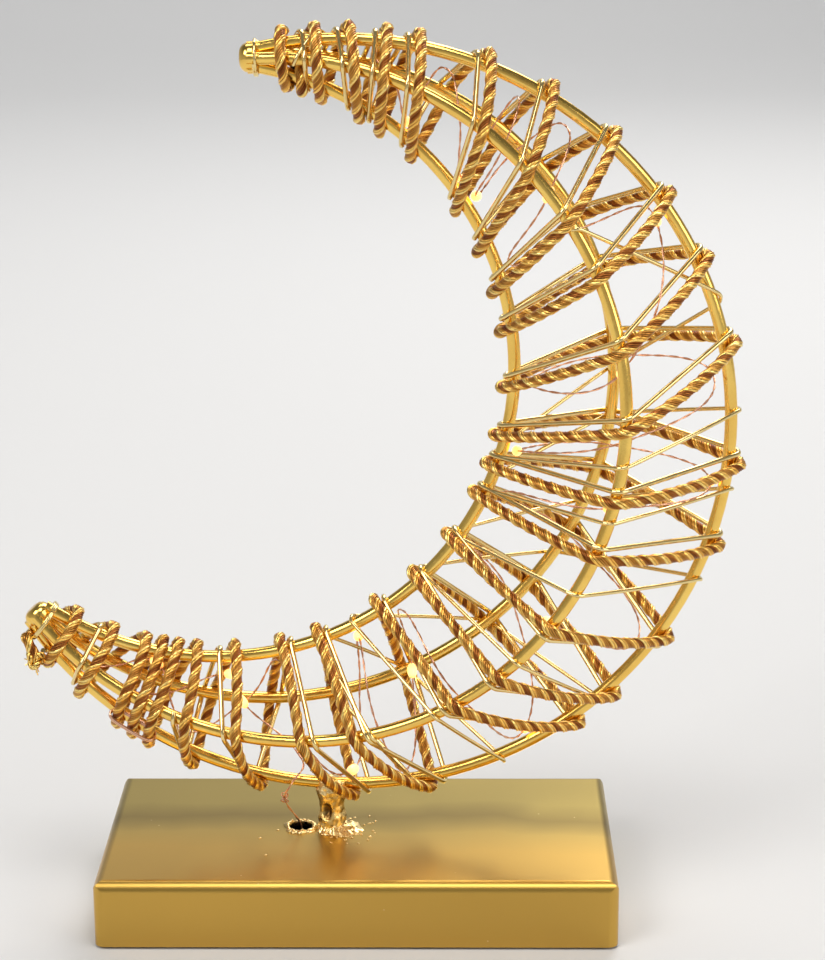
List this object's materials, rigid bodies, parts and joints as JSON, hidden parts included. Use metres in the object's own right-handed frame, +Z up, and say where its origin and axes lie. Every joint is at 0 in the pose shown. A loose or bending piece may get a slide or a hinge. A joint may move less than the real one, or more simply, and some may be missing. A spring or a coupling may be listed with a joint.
{
  "type": "eid crescent ornament",
  "caption": "Lit table ornament: an open crescent cage of bowed rods wound with rope and wire, on a stud and a low rectangular base that holds cells and a switch.",
  "frame": {"origin": "middle of the base's footprint, on the table under the foam pad", "axes": "+Z up; +X the ornament's right, the closed side of the crescent; +Y its back"},
  "size_m": [0.2112, 0.078, 0.2599],
  "materials": {
    "rods_gold": "polished",
    "base_gold": "satin",
    "weld_gold": "rough",
    "rope_bronze": "satin",
    "wire_gold": "polished",
    "fairy_copper": "polished",
    "lamp_resin": "glossy, lit",
    "plate_black": "matte",
    "foam_black": "soft",
    "screw_steel": "plated",
    "bracket_steel": "plated",
    "cell_wrap": "glossy",
    "contact_nickel": "plated",
    "board_green": "glossy",
    "resistor_tan": "matte",
    "switch_black": "satin",
    "slider_white": "matte",
    "lead_red": "satin"
  },
  "bodies": {
    "ornament": {"base_shell": "base_gold", "corner_brackets": "bracket_steel", "base_plate": "plate_black", "foam_pad": "foam_black", "plate_screws": "screw_steel", "battery_box": "plate_black", "battery_cells": "cell_wrap", "contact_plates": "contact_nickel", "contact_springs": "contact_nickel", "circuit_board": "board_green", "resistor": "resistor_tan", "switch_housing": "switch_black", "lead_wires": "lead_red", "support_post": "rods_gold", "post_weld": "weld_gold", "saddle_braze": "weld_gold", "outer_rod": "rods_gold", "inner_rod": "rods_gold", "front_rod": "rods_gold", "back_rod": "rods_gold", "upper_tip_cap": "rods_gold", "lower_tip_cap": "rods_gold", "rope_winding": "rope_bronze", "rope_binding": "fairy_copper", "wire_winding": "wire_gold", "wire_tail": "wire_gold", "light_string": "fairy_copper", "led_beads": "lamp_resin"},
    "battery_door": {"battery_door": "plate_black"},
    "switch_slider": {"switch_slider": "slider_white"}
  },
  "joints": [
    {"name": "battery_door_hinge", "type": "hinge", "parent": "ornament", "child": "battery_door", "pos_m": [0.0591, 0, 0.0029], "axis": [0, -1, 0], "range_deg": [0, 95]},
    {"name": "switch_slide", "type": "slide", "parent": "ornament", "child": "switch_slider", "axis": [1, 0, 0], "range_m": [0, 0.003]}
  ]
}
